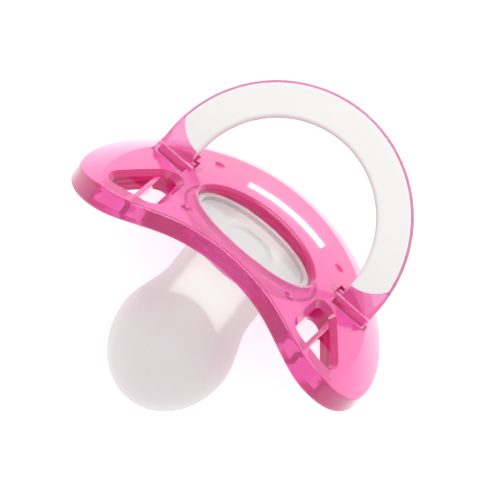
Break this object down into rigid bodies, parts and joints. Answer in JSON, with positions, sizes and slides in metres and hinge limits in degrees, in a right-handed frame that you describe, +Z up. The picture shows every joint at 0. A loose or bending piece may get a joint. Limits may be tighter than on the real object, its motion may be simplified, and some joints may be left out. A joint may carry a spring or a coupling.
{
  "type": "pacifier",
  "caption": "Baby's pacifier: bent oval shield with vents, hollow silicone teat, snap-in oval plug and a round swinging handle.",
  "frame": {"origin": "under the middle of the part's box, on the table it lies on", "axes": "+X along the shield, +Y from the teat towards the handle, +Z up. The pacifier lies on its chin edge and its bulb, so the teat's axis is tilted from the table and the open handle is level."},
  "size_m": [0.057, 0.0582, 0.0326],
  "materials": {
    "shield_plastic": "translucent pink, polished",
    "silicone": "milky translucent silicone, satin",
    "clear_plastic": "clear, polished",
    "handle_plastic": "translucent pink, polished",
    "grip_plastic": "off-white, soft satin"
  },
  "bodies": {
    "shield_body": {"shield": "shield_plastic", "teat": "silicone", "retaining_plug": "clear_plastic"},
    "handle": {"handle_frame": "handle_plastic", "handle_grip": "grip_plastic"}
  },
  "joints": [
    {"name": "handle_swing", "type": "hinge", "parent": "shield_body", "child": "handle", "pos_m": [0, 0.00451, 0.01591], "axis": [1, 0, 0], "range_deg": [-23, 83]}
  ]
}
